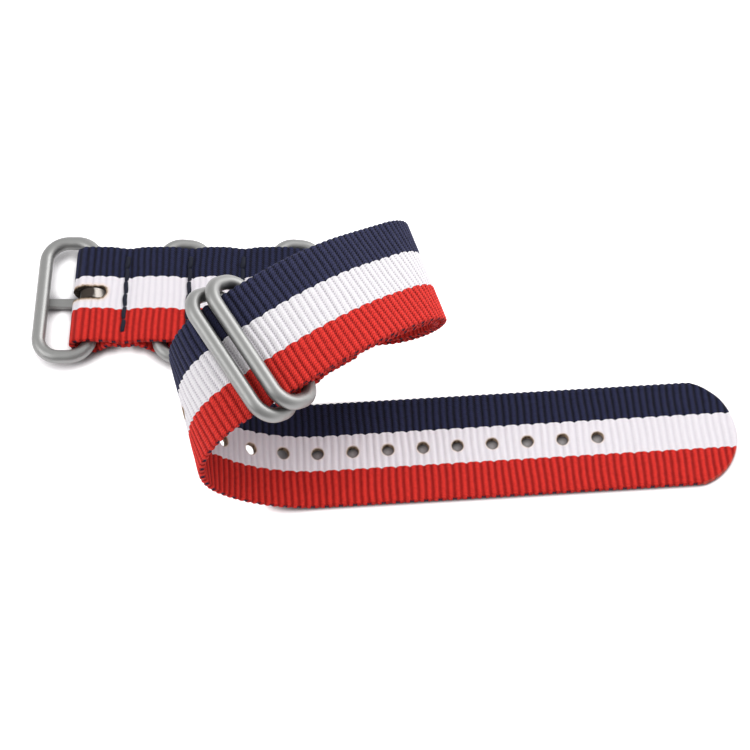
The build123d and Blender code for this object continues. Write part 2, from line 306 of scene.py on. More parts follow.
@dataclass(frozen=True)
class StrapSizes:
    """Sizes of the strap in millimetres: the solids' own, and the slot and the sag that the cloth takes."""

    width: float = 22.0
    thickness: float = 1.35
    layer_gap: float = 0.1
    wire_radius: float = 1.35
    pin_clearance: float = 0.08
    ring_length: float = 28.8
    ring_corner: float = 5.1
    buckle_length: float = 29.2
    buckle_corner: float = 5.7
    ring_span: float = 8.8
    ring_rest_clearance: float = 0.45
    ring_stack_gap: float = 0.15
    keepers: tuple[float, float] = (13.6, 36.3)
    stitches: tuple[float, ...] = (6.6, 19.2, 29.8, 41.9)
    fold_x: float = 52.5
    slope: float = 40.0
    ease: float = 2.0
    fold: Bend = Bend(11.86, 149.4, -18.5)
    arch_lead: float = 6.9
    arch: Bend = Bend(37.0, 37.5, 3.4)
    bend_lead: float = 7.6
    bend: Bend = Bend(11.33, 129.3, -17.9)
    landing_radius: float = 25.1
    ring_to_arch_end: float = 0.97
    fold_to_tip: float = 203.0
    tab_slope: float = 45.0
    tab_ramp: float = 1.5
    tab_turn: float = 58.5
    tab_length: float = 5.5
    tab_stitch: float = 2.6
    tip_radius: float = 11.6
    hole_radius: float = 1.1
    hole_pitch: float = 6.76
    hole_count: int = 14
    tip_to_hole: float = 27.2
    buckle_slack: float = 1.4
    slot_width: float = 2.3
    slot_reach: float = 2.6
    slot_reach_below: float = 3.2
    sag: float = 0.75
    sag_width: float = 2.3

    @property
    def sag_margin(self) -> float:
        """Distance before the right-hand fold at which the sag of the sewn rows stops."""
        return self.width / 4

    @property
    def pin_radius(self) -> float:
        """Inner radius of the webbing round a bar."""
        return self.wire_radius + self.pin_clearance

    @property
    def loop_radius(self) -> float:
        """Radius of the middle of the webbing round a bar."""
        return self.pin_radius + self.thickness / 2

    @property
    def step(self) -> float:
        """Distance between the middles of two layers that lie together."""
        return self.thickness + self.layer_gap

    @property
    def pin_height(self) -> float:
        """Height of the buckle's and keepers' inner bars."""
        return self.thickness + self.pin_radius

    @property
    def top_height(self) -> float:
        """Height of the middle of the upper layer at the buckle end."""
        return 2 * self.pin_height - self.thickness / 2

    @property
    def low_height(self) -> float:
        """Height of the middle of the lower layer at the buckle end."""
        return self.top_height - self.step

    @property
    def fold_to_ring(self) -> float:
        """Distance along the webbing from the right-hand fold to the first end ring's bar."""
        return self.fold.length + self.arch_lead + self.arch.length - self.ring_to_arch_end

    @property
    def ring_tilt(self) -> float:
        """Angle between the end rings and the webbing that they hold, in radians."""
        above = self.thickness / 2 + self.ring_rest_clearance + self.wire_radius
        return asin((self.step + self.loop_radius + above) / self.ring_span)

    @property
    def ring_pitch(self) -> float:
        """Distance along the webbing between the end rings' bars."""
        return (2 * self.wire_radius + self.ring_stack_gap) / sin(self.ring_tilt)


@dataclass(frozen=True)
class Route:
    """The ribbons that the strap's webbing follows."""

    sizes: StrapSizes

    def climb(self, rise: float) -> list[Run | Bend]:
        """Stretches that step a ribbon up: a bend, a ramp and the bend back.

        Args:
            rise: Height to gain.

        Returns:
            The stretches.
        """
        angle = radians(self.sizes.slope)
        ramp = (rise - 2 * self.sizes.ease * (1 - cos(angle))) / sin(angle)
        turn = self.sizes.slope
        return [Bend(self.sizes.ease, turn), Run(ramp), Bend(self.sizes.ease, -turn)]

    def pocket(self, ribbon: Ribbon, pin_x: float) -> None:
        """Dip the lower layer under a keeper's inner bar.

        Args:
            ribbon: Ribbon of the lower layer, laid up to somewhere before the bar.
            pin_x: Place of the bar.
        """
        sizes = self.sizes
        angle = radians(sizes.slope)
        radii = sizes.ease + sizes.loop_radius
        drop = sizes.low_height - sizes.thickness / 2
        ramp = (drop - radii * (1 - cos(angle))) / sin(angle)
        reach = radii * sin(angle) + ramp * cos(angle)
        ribbon.add(Run(pin_x - reach - ribbon.end.centre[0]))
        ribbon.add(Bend(sizes.ease, -sizes.slope), Run(ramp), Bend(sizes.loop_radius, 2 * sizes.slope))
        ribbon.add(Run(ramp), Bend(sizes.ease, -sizes.slope))

    def fold_over(self, ribbon: Ribbon) -> None:
        """Lay the right-hand fold, the arch, the left-hand bend and the landing on the table.

        Args:
            ribbon: Ribbon laid up to the start of the fold.
        """
        sizes = self.sizes
        ribbon.add(sizes.fold, Run(sizes.arch_lead), sizes.arch, Run(sizes.bend_lead), sizes.bend)
        frame = ribbon.end
        axis = np.cross(frame.normal, UP)
        axis /= np.linalg.norm(axis) * copysign(1.0, float(axis @ frame.across))
        skew = degrees(atan2(float(axis @ frame.along), float(axis @ frame.across)))
        landing = Bend(sizes.landing_radius, degrees(acos(float(frame.normal @ UP))), skew)
        fall = landing.after(frame).centre[2] - sizes.thickness / 2
        ribbon.add(Run(fall / -frame.along[2]), landing)

    def long_strap(self) -> tuple[Ribbon, float]:
        """Lay the long strap from its seam over the buckle's bar to its rounded tip.

        Returns:
            The ribbon, and the distance at which its right-hand fold starts.
        """
        sizes = self.sizes
        ribbon = Ribbon(Frame(UP * sizes.top_height, -RIGHT, AWAY))
        slack = Run(sizes.buckle_slack)
        ribbon.add(slack, Bend(sizes.loop_radius, HALF_TURN), slack)
        ribbon.add(*self.climb(sizes.low_height - sizes.thickness / 2))
        for pin_x in sizes.keepers:
            self.pocket(ribbon, pin_x)
        ribbon.add(Run(sizes.fold_x - ribbon.end.centre[0]))
        fold_start = ribbon.length
        self.fold_over(ribbon)
        ribbon.add(Run(fold_start + sizes.fold_to_tip - ribbon.length))
        return ribbon, fold_start

    def guide(self) -> Ribbon:
        """Lay the line of the layer that the under strap lies on, a layer's step out of its wrist side.

        Returns:
            The ribbon.
        """
        ribbon = Ribbon(Frame(UP * self.sizes.low_height, RIGHT, AWAY)).add(Run(self.sizes.fold_x))
        self.fold_over(ribbon)
        return ribbon

    def end_loop(self, start: Frame) -> Ribbon:
        """Lay the under strap's end, round the second ring's bar and back under both.

        Args:
            start: Frame over the second ring's bar.

        Returns:
            The ribbon.
        """
        sizes = self.sizes
        ribbon = Ribbon(start).add(Bend(sizes.loop_radius, HALF_TURN), Run(sizes.ring_pitch))
        ribbon.add(Bend(sizes.loop_radius, sizes.tab_slope), Run(sizes.tab_ramp))
        return ribbon.add(Bend(sizes.ease, -sizes.tab_turn), Run(sizes.tab_length))


@dataclass(frozen=True)
class Opening:
    """A hole or slot through the webbing: all within a radius of a line along its middle."""

    first: float
    last: float
    radius: float
    open_start: bool = False
    scorch: float = 0.9
    scorch_reach: float = 0.5
    ragged: float = 0.07
    ragged_pitches: tuple[float, float] = (1.7, 0.73)
    ragged_shares: tuple[float, float] = (0.6, 0.4)
    ragged_turn: float = 2.0

    def uneven(self, along: Array, across: Array) -> Array:
        """How far the cut wanders from its true line: the sum of two waves along and across it.

        Args:
            along: Distances along the ribbon of points on the cut.
            across: Distances across it.

        Returns:
            Distances away from the opening's middle line.
        """
        long_pitch, short_pitch = self.ragged_pitches
        long_share, short_share = self.ragged_shares
        long_wave = np.sin(2 * pi * along / long_pitch + self.ragged_turn * np.sign(across))
        short_wave = np.sin(2 * pi * (along + across) / short_pitch + self.last)
        return self.ragged * (long_share * long_wave + short_share * short_wave)

    def middle(self, along: Array) -> Array:
        """Nearest place on the opening's middle line."""
        return np.clip(along, self.first, self.last)

    def distance(self, along: Array, across: Array) -> Array:
        """Distance from the opening's wall, negative inside it."""
        return np.hypot(along - self.middle(along), across) - self.radius


@dataclass(frozen=True)
class Weave:
    """Ribs of the webbing, which run across it."""

    pitch: float
    depth: float = 0.27
    rim: float = 0.4
    cut_rim: float = 0.2
    bulge: float = 0.18
    phase_shares: tuple[float, ...] = (0.0, 0.14, 0.32, 0.5, 0.68, 0.86)
    columns: int = 24
    column_ease: float = 0.28
    sharpness: float = 1.2
    uneven: float = 0.18
    uneven_turn: float = 2.399
    wander: float = 0.12
    wander_shares: tuple[float, float] = (0.7, 0.3)
    wander_across: tuple[float, float] = (19.0, 8.3)
    wander_along: tuple[float, float] = (47.0, -21.0)

    @property
    def sliver(self) -> float:
        """Distance within which two rows count as one."""
        return self.pitch / 20

    def rows(self, length: float) -> Array:
        """Distances of the grid's rows: a few in each rib, and one at each end.

        Args:
            length: Length of the webbing.

        Returns:
            Distances along it.
        """
        ribs = np.arange(int(length / self.pitch) + 1)
        rows = (ribs[:, None] + np.array(self.phase_shares)).ravel() * self.pitch
        return np.append(rows[rows < length - self.sliver], length)

    def top(self, along: Array) -> Array:
        """Height of the ribs, from 0 in a groove to 1: half a wave, raised to a power that narrows it."""
        return np.abs(np.sin(pi * along / self.pitch)) ** self.sharpness

    def groove(self, along: Array) -> Array:
        """Depth of the grooves, which differs a little from rib to rib."""
        differ = 1 + self.uneven * np.sin(np.floor(along / self.pitch) * self.uneven_turn)
        return self.depth * (1 - self.top(along)) * differ

    def drift(self, along: Array, across: Array) -> Array:
        """How far the ribs wander along the ribbon: the sum of two long waves, one slanting each way.

        Args:
            along: Distances along the ribbon.
            across: Distances across it.

        Returns:
            Distances to add along the ribbon.
        """
        total = np.zeros(len(along))
        for share, wide, deep in zip(self.wander_shares, self.wander_across, self.wander_along):
            total += share * np.sin(2 * pi * (across / wide + along / deep) + (deep < 0))
        return self.wander * total


@dataclass
class Plan:
    """Flat mesh of one face of the webbing, in distances along and across."""

    points: Array
    faces: Corners

    def weld(self) -> "Plan":
        """Make points that coincide one, and leave out the faces that this empties.

        Returns:
            The welded mesh.
        """
        keys = np.round(self.points, WELD_DECIMALS)
        _, first, inverse = np.unique(keys, axis=0, return_index=True, return_inverse=True)
        faces = inverse.reshape(-1)[self.faces]
        steps = np.diff(np.sort(faces, axis=1), axis=1) > 0
        return Plan(self.points[first], faces[steps.sum(axis=1) > 1])

    def joined(self, other: "Plan") -> "Plan":
        """This mesh and another as one."""
        points = np.vstack([self.points, other.points])
        return Plan(points, np.vstack([self.faces, other.faces + len(self.points)]))

    def border(self) -> Corners:
        """Find the edges that only one face has.

        Returns:
            Pairs of point numbers, one row each, with the mesh on their left.
        """
        edges = np.vstack([self.faces[:, [k, (k + 1) % 4]] for k in range(4)])
        edges = edges[edges[:, 0] != edges[:, 1]]
        size = len(self.points)
        forward = edges[:, 0] * size + edges[:, 1]
        back = edges[:, 1] * size + edges[:, 0]
        return edges[~np.isin(forward, back)]

    def outward(self, border: Corners) -> Array:
        """Direction away from the mesh at each point: the mean of what its border edges face.

        Args:
            border: Border edges, as point numbers.

        Returns:
            Unit directions, zero off the border.
        """
        step = self.points[border[:, 1]] - self.points[border[:, 0]]
        step /= np.linalg.norm(step, axis=1)[:, None]
        side = np.column_stack([step[:, 1], -step[:, 0]])
        out = np.zeros_like(self.points)
        np.add.at(out, border[:, 0], side)
        np.add.at(out, border[:, 1], side)
        length = np.linalg.norm(out, axis=1)[:, None]
        return np.divide(out, length, out=np.zeros_like(out), where=length > 0)


def grid_faces(rows: int, columns: int) -> Corners:
    """Corner numbers of the quads of a grid, anticlockwise with rows to the right and columns up.

    Args:
        rows: Number of rows.
        columns: Number of columns.

    Returns:
        Four numbers for each quad.
    """
    row, column = np.meshgrid(np.arange(rows - 1), np.arange(columns - 1), indexing="ij")
    corner = (row * columns + column).ravel()
    return np.column_stack([corner, corner + columns, corner + columns + 1, corner + 1])


@dataclass
class WebbingPlan:
    """Plan of a length of webbing with its openings and, at choice, a rounded tip."""

    sizes: StrapSizes
    weave: Weave
    length: float
    openings: list[Opening]
    round_tip: bool = False
    ring_shares: tuple[float, ...] = (0.0, 0.3, 0.6, 0.84, 1.0)
    window_margin: float = 0.75

    def columns(self) -> Array:
        """Distances of the grid's columns: even steps mixed with a sine's, so closer near the edges.

        Returns:
            Distances across the ribbon.
        """
        ease = self.weave.column_ease
        even = np.linspace(-1.0, 1.0, self.weave.columns)
        eased = even * (1 - ease) + np.sin(even * pi / 2) * ease
        return eased * (self.sizes.width / 2 - self.weave.rim)

    def window(self, opening: Opening, rows: Array, columns: Array) -> tuple[Array, Array]:
        """Choose the rows and columns of the grid that frame an opening.

        Args:
            opening: The opening.
            rows: Distances of the grid's rows.
            columns: Distances of its columns.

        Returns:
            The rows and the columns of the frame.
        """
        reach = opening.radius + self.weave.cut_rim + self.window_margin
        first = 0.0 if opening.open_start else rows[rows <= opening.first - reach][-1]
        last = rows[rows >= opening.last + reach][0]
        low, high = columns[columns <= -reach][-1], columns[columns >= reach][0]
        in_rows = rows[(rows >= first) & (rows <= last)]
        return in_rows, columns[(columns >= low) & (columns <= high)]

    def patch(self, opening: Opening, rows: Array, columns: Array) -> Plan:
        """Lay rings of quads between the frame of an opening and its rim, in shares of the way.

        Args:
            opening: The opening.
            rows: Distances of the frame's rows.
            columns: Distances of its columns.

        Returns:
            The rings' mesh.
        """
        low = np.column_stack([rows, np.full(len(rows), columns[0])])
        right = np.column_stack([np.full(len(columns), rows[-1]), columns])
        high = np.column_stack([rows[::-1], np.full(len(rows), columns[-1])])
        left = np.column_stack([np.full(len(columns), rows[0]), columns[::-1]])
        sides = [low, right[1:], high[1:]] if opening.open_start else [low, right[1:], high[1:], left[1:]]
        frame = np.vstack(sides)
        middle = np.column_stack([opening.middle(frame[:, 0]), np.zeros(len(frame))])
        ray = frame - middle
        ray /= np.linalg.norm(ray, axis=1)[:, None]
        cut = middle + ray * opening.radius
        rim = cut + ray * (self.weave.cut_rim + opening.uneven(cut[:, 0], cut[:, 1]))[:, None]
        shares = np.array(self.ring_shares)[:, None, None]
        rings = frame * (1 - shares) + rim * shares
        faces = grid_faces(len(shares), len(frame))[:, [0, 3, 2, 1]]
        return Plan(rings.reshape(-1, 2), faces)

    def plan(self) -> Plan:
        """Lay the grid of rows and columns, with a patch in place of each opening.

        Returns:
            The whole mesh.
        """
        rows, columns = self.weave.rows(self.length), self.columns()
        along, across = np.meshgrid(rows, columns, indexing="ij")
        points = np.column_stack([along.ravel(), across.ravel()])
        faces = grid_faces(len(rows), len(columns))
        centres = points[faces].mean(axis=1)
        patches = []
        for opening in self.openings:
            in_rows, in_columns = self.window(opening, rows, columns)
            inside = (centres[:, 0] > in_rows[0]) & (centres[:, 0] < in_rows[-1])
            inside &= (centres[:, 1] > in_columns[0]) & (centres[:, 1] < in_columns[-1])
            faces, centres = faces[~inside], centres[~inside]
            patches.append(self.patch(opening, in_rows, in_columns))
        plan = Plan(points, faces)
        for patch in patches:
            plan = plan.joined(patch)
        if self.round_tip:
            self.trim_tip(plan)
        return plan.weld()

    def trim_tip(self, plan: Plan) -> None:
        """Bring the points beyond the tip's arc back onto it, along the ribbon.

        Args:
            plan: Mesh whose points are moved in place.
        """
        radius = self.sizes.tip_radius
        centre = self.length - radius
        radius -= self.weave.rim
        limit = centre + np.sqrt(np.maximum(radius**2 - plan.points[:, 1] ** 2, 0.0))
        plan.points[:, 0] = np.minimum(plan.points[:, 0], limit)


@dataclass
class Webbing:
    """A length of webbing: its plan twice, joined by a half-round edge, and placed on its ribbon."""

    name: str
    layout: WebbingPlan
    place: Placer
    square_ends: tuple[float, ...] = ()
    edge_turns: tuple[float, ...] = (62.0, 35.0, 10.0, -15.0, -40.0, -65.0)
    fade: float = 0.9
    least_share: float = 0.15
    pressed_until: float = 0.0
    pressed_share: float = 0.6
    fused_width: float = 0.35
    fused_scorch: float = 0.24

    def relief(self, along: Array, across: Array) -> Array:
        """Depth of the surface under the full thickness: the grooves, flatter where sewn and round openings.

        Args:
            along: Distances along the ribbon.
            across: Distances across it.

        Returns:
            Depths.
        """
        depth = self.layout.weave.groove(along)
        depth = depth * np.where(along < self.pressed_until, self.pressed_share, 1.0)
        for opening in self.layout.openings:
            near = opening.distance(along, across) / self.fade
            depth = depth * np.clip(near, self.least_share, 1.0)
        return depth

    def singe(self, along: Array, across: Array) -> Array:
        """How scorched the webbing is, falling evenly with the distance from an opening or the tip's cut.

        Args:
            along: Distances along the ribbon.
            across: Distances across it.

        Returns:
            Numbers from 0, where the yarns are as woven.
        """
        scorched = np.zeros(len(along))
        for opening in self.layout.openings:
            near = 1 - opening.distance(along, across) / opening.scorch_reach
            scorched = np.maximum(scorched, np.clip(near, 0.0, 1.0) * opening.scorch)
        if self.layout.round_tip:
            radius = self.layout.sizes.tip_radius
            from_centre = np.hypot(np.maximum(along - self.layout.length + radius, 0.0), across)
            fused = (from_centre > radius - self.fused_width) & (along > self.layout.length - radius)
            scorched = np.maximum(scorched, fused * self.fused_scorch)
        return scorched

    def outside(self, along: Array, out: Array) -> Array:
        """How far a point is on the outside: an even step across the thickness, which starts past the seams.

        Args:
            along: Distances along the ribbon.
            out: Distances out of the wrist side.

        Returns:
            Numbers from 0 on the wrist side to 1 on the outside.
        """
        sizes = self.layout.sizes
        across_thickness = np.clip(0.5 - 2 * out / sizes.thickness, 0.0, 1.0)
        return across_thickness * np.clip((along - self.pressed_until) / sizes.width * 2, 0.0, 1.0)

    def rims(self, along: Array, across: Array) -> Array:
        """Width of the rounded edge: narrow at the openings, none at a square end.

        Args:
            along: Distances along the ribbon.
            across: Distances across it.

        Returns:
            Widths.
        """
        weave = self.layout.weave
        width = np.full(len(along), weave.rim)
        for opening in self.layout.openings:
            width[opening.distance(along, across) < 2 * weave.cut_rim] = weave.cut_rim
        for end in self.square_ends:
            width[np.abs(along - end) < weave.sliver] = 0.0
        return width

    def layers(self, plan: Plan, border: Corners) -> Array:
        """Lay out the points: both faces, and between them a ring round the border for each edge turn.

        A ring is pushed out by the edge's width times the cosine of its turn, and lies at the face's height
        times the sine. Along the selvedges the width is less in each groove.

        Args:
            plan: Mesh of one face.
            border: Its border edges.

        Returns:
            Distances along, across and out, one row for each point.
        """
        weave = self.layout.weave
        along, across = plan.points.T
        height = self.layout.sizes.thickness / 2 - self.relief(along, across)
        selvedge = np.abs(across) > self.layout.sizes.width / 2 - weave.rim - weave.sliver
        width = self.rims(along, across) + weave.bulge * (weave.top(along) - 1) * selvedge
        used = np.unique(border)
        away = plan.outward(border)[used]
        layers = [np.column_stack([plan.points, height])]
        for turn in np.radians(self.edge_turns):
            ring = plan.points[used] + away * (width[used] * np.cos(turn))[:, None]
            layers.append(np.column_stack([ring, height[used] * np.sin(turn)]))
        layers.append(np.column_stack([plan.points, -height]))
        return np.vstack(layers)

    def shell(self, plan: Plan, border: Corners) -> Corners:
        """Number the corners of both faces of the plan and of the quads between the rings of its edge.

        Args:
            plan: Mesh of one face.
            border: Its border edges.

        Returns:
            Four numbers for each face.
        """
        used, edge = np.unique(border, return_inverse=True)
        edge = edge.reshape(border.shape)
        first_ring, turns = len(plan.points), len(self.edge_turns)
        under = first_ring + turns * len(used)
        rings = [border, *(first_ring + k * len(used) + edge for k in range(turns)), under + border]
        walls = [np.column_stack([a[:, 0], b[:, 0], b[:, 1], a[:, 1]]) for a, b in zip(rings, rings[1:])]
        return np.vstack([plan.faces, *walls, under + plan.faces[:, ::-1]])

    def build(self, origin: Array) -> bpy.types.Object:
        """Make the mesh, with its ribs let wander, placed on its ribbon and mapped by the weave.

        Args:
            origin: Place of the ribbon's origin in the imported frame, in millimetres.

        Returns:
            The webbing's object.
        """
        plan = self.layout.plan()
        weave = self.layout.weave
        border = plan.border()
        along, across, out = self.layers(plan, border).T
        drift = weave.drift(along, across)
        for end in self.square_ends:
            drift = drift * np.clip(np.abs(along - end) / weave.pitch, 0.0, 1.0)
        points = self.place(along + drift, across, out) + origin
        share_across = across / self.layout.sizes.width + 0.5
        weave_map = np.column_stack([share_across, along / weave.pitch / RIBS_PER_MAP])
        mesh = make_mesh(self.name, points * METRES, self.shell(plan, border), weave_map)
        for name, values in (("singe", self.singe(along, across)), ("outside", self.outside(along, out))):
            layer = mesh.attributes.new(name, "FLOAT", "POINT")
            layer.data.foreach_set("value", values.astype(np.float32))
        return add_object(self.name, mesh)


def make_mesh(name: str, points: Array, faces: Corners, uv: Array | None = None) -> bpy.types.Mesh:
    """Smooth mesh from points and quads, in which a corner said twice makes a triangle.

    Args:
        name: Name of the mesh.
        points: Points in metres, one row each.
        faces: Four corner numbers for each face.
        uv: Two numbers for each point, kept as the map that the weave follows.

    Returns:
        The mesh.
    """
    kept = faces != np.roll(faces, 1, axis=1)
    counts = kept.sum(axis=1)
    corners = faces[kept]
    mesh = bpy.data.meshes.new(name)
    mesh.vertices.add(len(points))
    mesh.vertices.foreach_set("co", points.astype(np.float32).ravel())
    mesh.loops.add(len(corners))
    mesh.loops.foreach_set("vertex_index", corners.astype(np.int32))
    mesh.polygons.add(len(faces))
    mesh.polygons.foreach_set("loop_start", (np.cumsum(counts) - counts).astype(np.int32))
    mesh.polygons.foreach_set("use_smooth", np.ones(len(faces), dtype=bool))
    mesh.update(calc_edges=True)
    if uv is not None:
        layer = mesh.uv_layers.new(name="weave")
        layer.data.foreach_set("uv", uv[corners].astype(np.float32).ravel())
    return mesh


def add_object(name: str, mesh: bpy.types.Mesh) -> bpy.types.Object:
    """Put a mesh into the scene at the origin.

    Args:
        name: Name of the object.
        mesh: Its mesh.

    Returns:
        The object.
    """
    piece = bpy.data.objects.new(name, mesh)
    bpy.context.scene.collection.objects.link(piece)
    return piece


class Graph:
    """Node tree of one material, built from formulas.

    A mix node's sockets are numbered: its share and its two colours are inputs, and the colour is an output.
    """

    mix_inputs: tuple[int, int, int] = (0, 6, 7)
    mix_output: int = 2

    def __init__(self, name: str) -> None:
        """Make a material with a principled surface.

        Args:
            name: Name of the material.
        """
        self.material = bpy.data.materials.new(name)
        self.material.use_nodes = True
        self.tree = self.material.node_tree
        self.shader = self.tree.nodes["Principled BSDF"]

    def put(self, node: bpy.types.Node, index: int | str, value: Socket | float | tuple[float, ...]) -> None:
        """Link or set an input of a node.

        Args:
            node: The node.
            index: Number or name of its input.
            value: Socket to link, or constant to set.
        """
        if isinstance(value, Socket):
            self.tree.links.new(value, node.inputs[index])
        else:
            node.inputs[index].default_value = value

    def math(self, operation: str, *values: Socket | float) -> Socket:
        """Add a math node.

        Args:
            operation: Blender's name for the sum.
            values: Its inputs.

        Returns:
            Its result.
        """
        node = self.tree.nodes.new("ShaderNodeMath")
        node.operation = operation
        for index, value in enumerate(values):
            self.put(node, index, value)
        return node.outputs[0]

    def ramp(self, value: Socket, low: float, high: float, start: float = 0.0, stop: float = 1.0) -> Socket:
        """Add a smooth step.

        Args:
            value: Number that drives it.
            low: Where the step begins.
            high: Where it ends.
            start: Result before it.
            stop: Result after it.

        Returns:
            The result.
        """
        node = self.tree.nodes.new("ShaderNodeMapRange")
        node.interpolation_type = "SMOOTHSTEP"
        for index, number in enumerate((value, low, high, start, stop)):
            self.put(node, index, number)
        return node.outputs[0]

    def mix(self, share: Socket | float, first: Socket | tuple, second: Socket | tuple) -> Socket:
        """Mix two colours.

        Args:
            share: Share of the second.
            first: First colour.
            second: Second colour.

        Returns:
            The colour between them.
        """
        node = self.tree.nodes.new("ShaderNodeMix")
        node.data_type = "RGBA"
        for index, value in zip(self.mix_inputs, (share, first, second)):
            self.put(node, index, value)
        return node.outputs[self.mix_output]

    def attribute(self, name: str) -> Socket:
        """Read a number kept at the mesh's points.

        Args:
            name: Name that it is kept under.

        Returns:
            The number.
        """
        node = self.tree.nodes.new("ShaderNodeAttribute")
        node.attribute_name = name
        return node.outputs["Fac"]

    def place(self) -> Socket:
        """Place in metres, on the piece's own axes."""
        return self.tree.nodes.new("ShaderNodeTexCoord").outputs["Object"]

    def noise(self, scale: float, detail: float = 2.0) -> Socket:
        """Add noise of the place.

        Args:
            scale: Number of its cells in a metre.
            detail: How many finer layers it has.

        Returns:
            Number from 0 to 1.
        """
        node = self.tree.nodes.new("ShaderNodeTexNoise")
        self.put(node, "Vector", self.place())
        self.put(node, "Scale", scale)
        self.put(node, "Detail", detail)
        return node.outputs[0]

    def bump(self, height: Socket, distance: float, strength: float = 1.0) -> Socket:
        """Bump the surface.

        Args:
            height: Height of the bumps, from 0 to 1.
            distance: Height of 1 in metres.
            strength: Share of it that shows.

        Returns:
            The bumped surface's normal.
        """
        node = self.tree.nodes.new("ShaderNodeBump")
        self.put(node, "Strength", strength)
        self.put(node, "Distance", distance)
        self.put(node, "Height", height)
        return node.outputs[0]

    def surface(self, **inputs: Socket | float | tuple[float, ...]) -> None:
        """Set the surface's inputs, by their names with underscores for spaces."""
        for name, value in inputs.items():
            self.put(self.shader, name.replace("_", " "), value)


@dataclass(frozen=True)
class Stripes:
    """Colours of the three equal stripes, from the far edge."""

    navy: Colour
    white: Colour
    red: Colour


@dataclass(frozen=True)
class WebbingFinish:
    """Nylon webbing in three stripes: smooth ribs on its wrist side, and rows of pits on its outside.

    Lengths are in millimetres, cells of noise are counted to the metre, and each edge is where a smooth step
    begins and ends.
    """

    width: float
    name: str = "striped_webbing"
    ribs: Stripes = Stripes((0.022, 0.026, 0.073, 1.0), (0.9, 0.86, 0.9, 1.0), (0.8, 0.036, 0.026, 1.0))
    # painted light, in part: the outside's colours, lighter than the wrist side's, for the light on the fold
    # and the arch
    lit_ropes: Stripes = Stripes((0.047, 0.051, 0.118, 1.0), (0.97, 0.95, 0.97, 1.0), (0.97, 0.055, 0.042, 1.0))
    # painted shade: colours that the grooves and the gaps between strands darken to
    grooves: Stripes = Stripes((0.004, 0.004, 0.012, 1.0), (0.8, 0.76, 0.81, 1.0), (0.3, 0.008, 0.007, 1.0))
    # painted shade: colours of the pits between the yarns along the grooves
    pits: Stripes = Stripes((0.002, 0.002, 0.006, 1.0), (0.6, 0.57, 0.62, 1.0), (0.3, 0.006, 0.006, 1.0))
    binding: Colour = (0.03, 0.012, 0.03, 1.0)
    stain_and_shade: Colour = (0.85, 0.62, 0.44, 1.0)
    tan: Colour = (0.42, 0.31, 0.22, 1.0)
    char: Colour = (0.03, 0.02, 0.014, 1.0)
    white_share: float = 1 / 3
    scallop: float = 0.28
    yarn_pitch: float = 0.5
    yarn_relief: float = 0.1
    yarn_strength: float = 0.8
    yarn_slant: float = 1.8
    rib_edge: Edge = (0.15, 0.95)
    # the second share is lower: the outside's grooves take less painted shade, for the light on the fold and
    # the arch
    rib_shade: Edge = (0.75, 0.4)
    strand_shade: Edge = (0.36, 0.62)
    pit_edge: Edge = (0.62, 0.85)
    pit_depth: Edge = (0.12, 1.0)
    bead_edge: Edge = (-0.2, 0.7)
    mottle_cells: float = 2200.0
    mottle_detail: float = 3.0
    mottle_edge: Edge = (0.4, 0.75)
    mottle_shade: float = 0.3
    binding_start: float = 10.8
    binding_edge: Edge = (0.65, 0.75)
    singe_cells: float = 1400.0
    singe_uneven: float = 0.5
    stain_edge: Edge = (0.0, 0.8)
    stain_share: float = 0.45
    tan_edge: Edge = (0.55, 0.75)
    char_edge: Edge = (0.75, 1.0)
    roughness: float = 0.75
    sheen: float = 0.05
    sheen_roughness: float = 0.5
    specular: float = 0.12

    def material(self) -> bpy.types.Material:
        """Make the material.

        Returns:
            The material.
        """
        graph = Graph(self.name)
        uv = graph.tree.nodes.new("ShaderNodeUVMap")
        uv.uv_map = "weave"
        split = graph.tree.nodes.new("ShaderNodeSeparateXYZ")
        graph.put(split, 0, uv.outputs[0])
        across = graph.math("MULTIPLY", graph.math("SUBTRACT", split.outputs[0], 0.5), self.width)
        rib = graph.math("MULTIPLY", split.outputs[1], RIBS_PER_MAP)

        colour, height = self.yarns(graph, across, rib)
        tick = graph.math("PINGPONG", graph.math("ADD", rib, 1.0), 1.0)
        at_edge = graph.math("LESS_THAN", across, -self.binding_start)
        tick = graph.math("MULTIPLY", graph.ramp(tick, *self.binding_edge), at_edge)
        colour = self.singed(graph, graph.mix(tick, colour, self.binding))

        normal = graph.bump(height, self.yarn_relief * METRES, self.yarn_strength)
        graph.surface(Base_Color=colour, Roughness=self.roughness, Normal=normal)
        graph.surface(Sheen_Weight=self.sheen, Sheen_Roughness=self.sheen_roughness)
        graph.surface(Specular_IOR_Level=self.specular)
        return graph.material

    def stripes(self, graph: Graph, across: Socket, rib: Socket) -> tuple[Socket, Socket]:
        """Tell the stripes apart, with edges that bow out and in as half a wave over every two ribs.

        Args:
            graph: Graph of the material.
            across: Distance across the webbing in millimetres.
            rib: Distance along it in ribs.

        Returns:
            Numbers that are 1 in the navy stripe and 1 in the red one, and 0 elsewhere.
        """
        wave = graph.math("ABSOLUTE", graph.math("SINE", graph.math("MULTIPLY", rib, pi / 2)))
        shifted = graph.math("MULTIPLY_ADD", wave, -self.scallop, across)
        shifted = graph.math("ADD", shifted, self.scallop / 2)
        edge = self.width * self.white_share / 2
        return graph.math("GREATER_THAN", shifted, edge), graph.math("LESS_THAN", shifted, -edge)

    def yarns(self, graph: Graph, across: Socket, rib: Socket) -> tuple[Socket, Socket]:
        """Colour the ribs, with painted shade in the grooves, between the strands and in the pits along the
        grooves.

        Args:
            graph: Graph of the material.
            across: Distance across the webbing in millimetres.
            rib: Distance along it in ribs.

        Returns:
            The colour, and the yarns' height.
        """
        outside = graph.attribute("outside")
        stripes = self.stripes(graph, across, rib)
        # painted light, in part: the outside takes the lighter colours
        smooth, lit_roped = self.choose(graph, self.ribs, stripes), self.choose(graph, self.lit_ropes, stripes)
        grooves, pits = self.choose(graph, self.grooves, stripes), self.choose(graph, self.pits, stripes)

